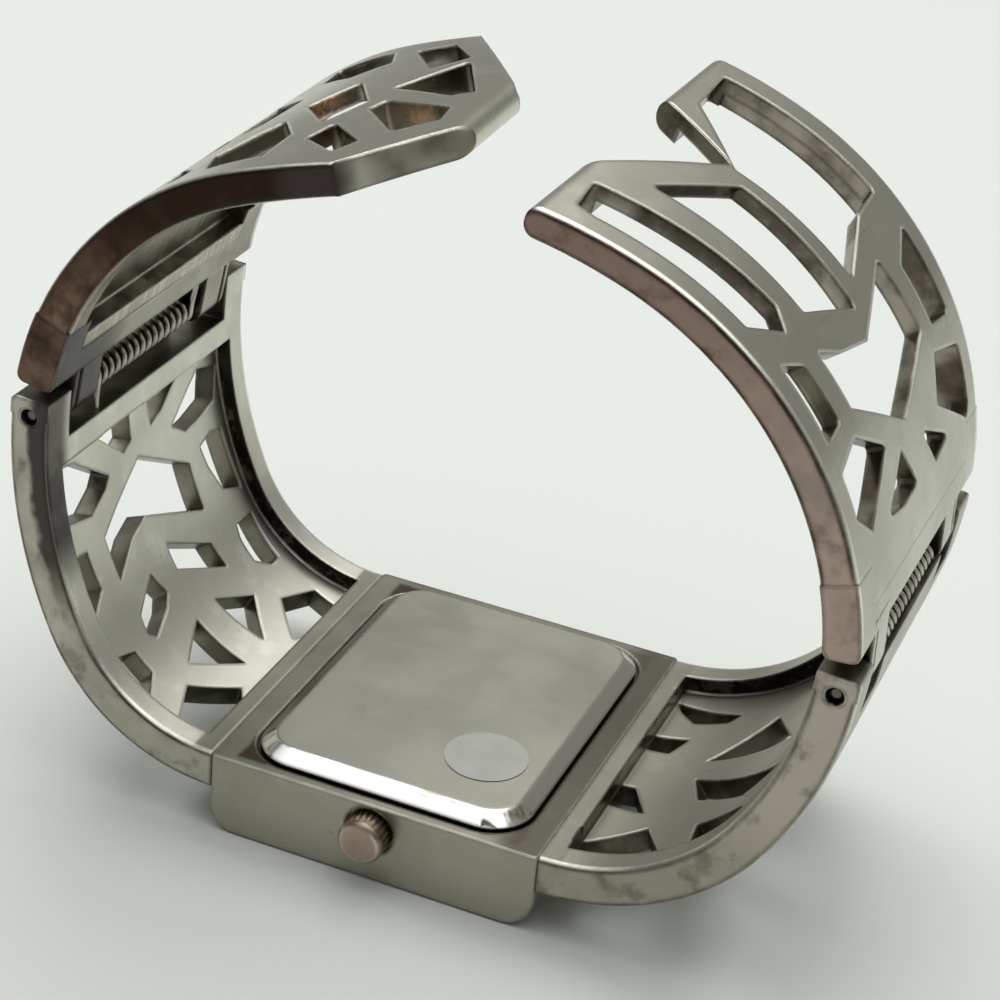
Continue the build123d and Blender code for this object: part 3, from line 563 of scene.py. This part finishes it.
def band_paint(worn, under, walls, deep=None, ribbed=None, glow=(), rail_wall=None, tip=(),
               bar=None, tip_reflection=None, side_shadow=None, arc=None):
    """Colours a band by where its surface lies and faces.

    worn and under are the rails' tones, walls the hole walls' pair, and deep the rails' second
    tone with its heights. ribbed is a lined inner face, glow the places of coppery walls,
    rail_wall the painted shade under the rails, tip the corners of a tip's outline and bar the
    end bar's light tone. tip_reflection, side_shadow and arc are places of painted shade: a dark
    reflection at the tip, a shadow beside the plate and a dark reflection along the rail's arc.
    """
    def paint(n, place, tone, rough):
        spot = Spot(n, place)
        if ribbed:
            tone = ribs(n, spot, tone, *ribbed)
        tone = rail(n, spot, tone, worn, under, deep)
        tone = hole_walls(n, spot, tone, walls, glow)
        if rail_wall:
            tone = under_rails(n, spot, tone, rail_wall)
        for first, second in zip(tip, tip[1:]):
            tone = cut_face(n, spot, tone, first, second)
        if bar:
            tone = end_bar(n, spot, tone, bar)
        # The painted shade of the places below: dark reflections and shadows
        painted_shade = None
        for paint_shade, sizes in ((tip_dark_reflection, tip_reflection), (painted_side_shadow, side_shadow), (arc_dark_reflection, arc)):
            if sizes:
                more = paint_shade(n, spot, *sizes)
                painted_shade = more if painted_shade is None else n.maths("MAXIMUM", painted_shade, more)
        return tone, rough, painted_shade
    return paint


def case_paint(n, place, tone, rough):
    """The case's rim is painted darker on top as shade in the step round the case back, and
    darker still at its right end; a ring round the case back is painted shade and grime.
    """
    lid_low, lid_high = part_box("case_back")
    middle = (lid_low + lid_high) / 2
    half = (lid_high - lid_low) / 2
    away = n.vector("ABSOLUTE", n.vector("SUBTRACT", place, (middle.x, middle.y, 0)))
    beyond = n.maths("MAXIMUM", n.maths("SUBTRACT", n.axis(away, "X"), half.x),
                     n.maths("SUBTRACT", n.axis(away, "Y"), half.y))
    upward = n.band(n.axis(n.normal(), "Z"), *case_top_facing)
    length = n.axis(place, "X")
    wander = n.times(n.noise(place, *ring_noise), ring_wander)
    ring = n.band(n.maths("SUBTRACT", beyond, wander), *ring_edges)
    rim = n.mix(n.noise(place, *rim_noise), nickel_dull_dark, nickel_dull)
    # Painted shade on the rim's top, in the step round the case back
    tone = n.mix(upward, tone, rim)
    # Painted shade at the rim's right end, between the case back and the band
    end = n.band(length, *dark_end_x, 0.0, dark_end_share)
    tone = n.mix(n.times(upward, end), tone, shade_dark)
    # A ring of painted shade and grime round the case back, strongest at the left
    ring_strength = n.band(length, *ring_fade_x, *ring_shares)
    tone = n.mix(n.times(upward, ring, ring_strength), tone, brown_deep)
    return tone, rough, None


def lid_paint(n, place, tone, rough):
    """The case back is satin on top, with a polished bevel that carries a streaked painted
    highlight where it faces the front, and painted shadow where it meets the case.
    """
    upward = n.axis(n.normal(), "Z")
    bevel = n.times(n.band(upward, *bevel_foot_facing), n.band(upward, *bevel_top_facing))
    case_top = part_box("case_body")[1].z
    start, end = seam_heights
    # Painted shadow where the case back meets the case
    seam = n.band(n.axis(place, "Z"), case_top + start, case_top + end)
    # A painted highlight on the front-facing bevel, streaked by stretched noise
    highlight_streaks = n.noise(n.vector("MULTIPLY", place, highlight_streak_stretch), *highlight_streak_noise)
    forward = n.band(n.axis(n.normal(), "Y"), *front_facing)
    shine = n.mix(n.times(forward, n.band(highlight_streaks, *highlight_streak_levels)), bevel_satin, bevel_highlight)
    tone = n.mix(seam, n.mix(bevel, tone, shine), shadow_black)
    rough = n.maths("SUBTRACT", rough, n.times(bevel, bevel_gloss))
    rough = n.maths("ADD", rough, n.times(seam, seam_dulling))
    return tone, rough, None


def pin_paint(node):
    """A pin's end is painted dark as shade in its hole, with a little light on its middle."""
    low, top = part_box(node)
    middle = (low + top) / 2
    radius = (top.x - low.x) / 2

    def paint(n, place, tone, rough):
        away = n.vector("MULTIPLY", n.vector("SUBTRACT", place, tuple(middle)), (1, 0, 1))
        start, end = pin_shine_shares
        ring = n.band(n.vector("LENGTH", away), radius * start, radius * end)
        return n.mix(ring, tone, shadow_black), rough, None
    return paint


def plain(name, tones, roughness, scale, metallic=0.0, levels=plain_levels, **sockets):
    """A material for small pieces: two close tones and a fine bump."""
    n = Nodes(name)
    place = n.place()
    tone = n.mix(n.band(n.noise(place, scale), *levels), *tones)
    grain = n.noise(place, scale * fine_ratio, fine_detail)
    n.set(Base_Color=tone, Metallic=metallic, Roughness=roughness,
          Normal=n.bump(grain, fine_depth, fine_strength), **sockets)
    return n.material


def dress(name, material):
    """Gives one CAD node its material."""
    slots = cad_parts[name].data.materials
    slots.clear()
    slots.append(material)


def flat_piece(name, points):
    """A flat object with one face through the points."""
    mesh = bpy.data.meshes.new(name)
    mesh.from_pydata(points, [], [tuple(range(len(points)))])
    made = bpy.data.objects.new(name, mesh)
    bpy.context.collection.objects.link(made)
    return made


def floor():
    """A pale table that greys a little towards the front, as painted shade."""
    corners = ((-1, -1), (1, -1), (1, 1), (-1, 1))
    plane = flat_piece("floor", [(x * floor_reach, y * floor_reach, 0) for x, y in corners])
    n = Nodes("floor")
    behind = n.band(n.axis(n.place(), "Y"), *floor_tone_y)
    n.set(Base_Color=n.mix(behind, floor_shaded_front, floor_back), Roughness=floor_roughness)
    plane.data.materials.append(n.material)


def sticker():
    """The blank round sticker on the case back."""
    centre = Vector((*sticker_middle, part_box("case_back")[1].z + sticker_lift))
    points = []
    for index in range(sticker_sides):
        angle = radians(360 * index / sticker_sides)
        points.append(centre + Vector((cos(angle), sin(angle), 0)) * sticker_radius)
    made = flat_piece("sticker", points)
    made.data.materials.append(plain("sticker_paper", paper, roughness=0.5, scale=500,
                                     levels=paper_levels))
    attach(made, "cuff")


def room():
    """A soft sky that is brightest overhead and behind, and darker in front."""
    world = bpy.data.worlds.new("world")
    bpy.context.scene.world = world
    world.use_nodes = True
    tree = world.node_tree
    sky = tree.nodes["Background"]
    sky.inputs["Color"].default_value = (*sky_grey, 1)
    coordinates = tree.nodes.new("ShaderNodeTexCoord")
    parts = tree.nodes.new("ShaderNodeSeparateXYZ")
    tree.links.new(coordinates.outputs["Generated"], parts.inputs[0])
    both = tree.nodes.new("ShaderNodeMath")
    both.operation = "MULTIPLY"
    for index, (axis, *limits) in enumerate(sky_steps):
        step = tree.nodes.new("ShaderNodeMapRange")
        step.interpolation_type = "SMOOTHSTEP"
        tree.links.new(parts.outputs[axis], step.inputs["Value"])
        for key, value in zip(("From Min", "From Max", "To Min", "To Max"), limits):
            step.inputs[key].default_value = value
        tree.links.new(step.outputs["Result"], both.inputs[index])
    tree.links.new(both.outputs[0], sky.inputs["Strength"])


def lamp():
    """One square lamp overhead."""
    data = bpy.data.lights.new("overhead", "AREA")
    data.size = lamp_size
    data.energy = lamp_power
    made = bpy.data.objects.new("overhead", data)
    made.location = lamp_place
    aim = Vector(lamp_target) - Vector(lamp_place)
    made.rotation_euler = aim.to_track_quat("-Z", "Y").to_euler()
    bpy.context.collection.objects.link(made)


camera()
floor()
room()
lamp()
bpy.context.scene.view_settings.view_transform = "Standard"

# The pierced bands
left_arm_paint = band_paint(rail_brown, brown_deep, left_arm_walls,
                            deep=(brown_black, left_rail_deep_z),
                            ribbed=(rib_brown, rib_light, rib_top_z),
                            glow=copper_walls, tip=tip_corners,
                            tip_reflection=(tip_reflection_middle, tip_reflection_radii))
left_block_paint = band_paint(block_brown, brown_deep, left_block_walls,
                              side_shadow=(block_shadow_y, block_shadow_z))
right_arm_paint = band_paint(rose, rose_dull, right_arm_walls,
                             deep=(rose_deep, right_rail_deep_z))
left_side_paint = band_paint(nickel, nickel_worn, left_side_walls, rail_wall=under_rail_shade_black,
                             bar=nickel_dull, side_shadow=(side_shadow_y, side_shadow_z),
                             arc=(left_arc_middle, left_arc_radius, arc_reflection_z))
right_side_paint = band_paint(olive, nickel_grey, right_side_walls, rail_wall=under_rail_shade_black,
                              deep=(nickel_warm, right_side_warm_z), bar=nickel_grey)
dress("left_arm", metal("left_arm_plate", nickel, nickel_light, nickel_dark,
                        roughness=0.26, dirt_and_shade=0.4, paint=left_arm_paint))
dress("left_hinge_block", metal("left_hinge_plate", nickel_dull, nickel_grey, brown,
                                roughness=0.32, dirt_and_shade=0.4, paint=left_block_paint))
dress("right_arm", metal("right_arm_plate", nickel, nickel_light, nickel_dark,
                         roughness=0.27, dirt_and_shade=0.4, paint=right_arm_paint))
dress("right_hinge_block", metal("right_hinge_plate", nickel, nickel_light, nickel_dark,
                                 roughness=0.28, dirt_and_shade=0.4, paint=right_arm_paint))
dress("left_side_band", metal("left_side_plate", nickel_light, highlight_and_patch_white, nickel,
                              roughness=0.36, dirt_and_shade=0.3, paint=left_side_paint))
dress("right_side_band", metal("right_side_plate", nickel_grey, nickel, olive,
                               roughness=0.36, dirt_and_shade=0.4, paint=right_side_paint))

# The case, the crown and the hinges' steel
dress("case_body", metal("case_plate", nickel_grey, nickel, olive, paint=case_paint,
                         face=(0, 0, 1)))
dress("case_back", metal("case_back_steel", steel, steel_light, steel, roughness=0.30,
                         dirt_and_shade=0.15, paint=lid_paint, edges=None))
dress("crown", metal("rose_crown", crown_rose, crown_rose_light, brown, roughness=0.24,
                     edges=crown_lines, face=(0, 1, 0)))
for name in ("left_hinge_spring", "right_hinge_spring"):
    dress(name, metal(name + "_steel", spring_steel, spring_steel_light, brown,
                      roughness=0.2, edges=None))
for name in ("left_hinge_pin", "right_hinge_pin"):
    dress(name, metal(name + "_steel", steel_dark, steel_dark, brown_deep, roughness=0.45,
                      dirt_and_shade=0.6, paint=pin_paint(name), edges=None))
for name in ("stem", "setting_lever", "crown_tube"):
    dress(name, metal(name + "_steel", steel_dark, steel, brown, roughness=0.4, dirt_and_shade=0.6,
                      edges=None))

# The dial side and the inner pieces
dress("crystal", plain("crystal_glass", glass, roughness=0.03, scale=90,
                       Transmission_Weight=1.0, IOR=1.5))
dress("dial", plain("dial_silver", silver, roughness=0.4, scale=1500, metallic=0.6))
dress("hour_markers", plain("marker_steel", marker_silver, roughness=0.16, scale=2500,
                            metallic=1.0))
for name in ("hour_hand", "minute_hand"):
    dress(name, plain(name + "_steel", hand_steel, roughness=0.18, scale=3000, metallic=1.0))
for name in ("crystal_gasket", "case_back_gasket"):
    dress(name, plain(name + "_rubber", rubber, roughness=0.62, scale=1600))
dress("movement_ring", plain("ring_plastic", plastic, roughness=0.45, scale=700))
dress("movement", plain("movement_plates", gilt, roughness=0.3, scale=380, metallic=1.0))
dress("battery", plain("battery_steel", silver, roughness=0.24, scale=1400, metallic=1.0))
sticker()
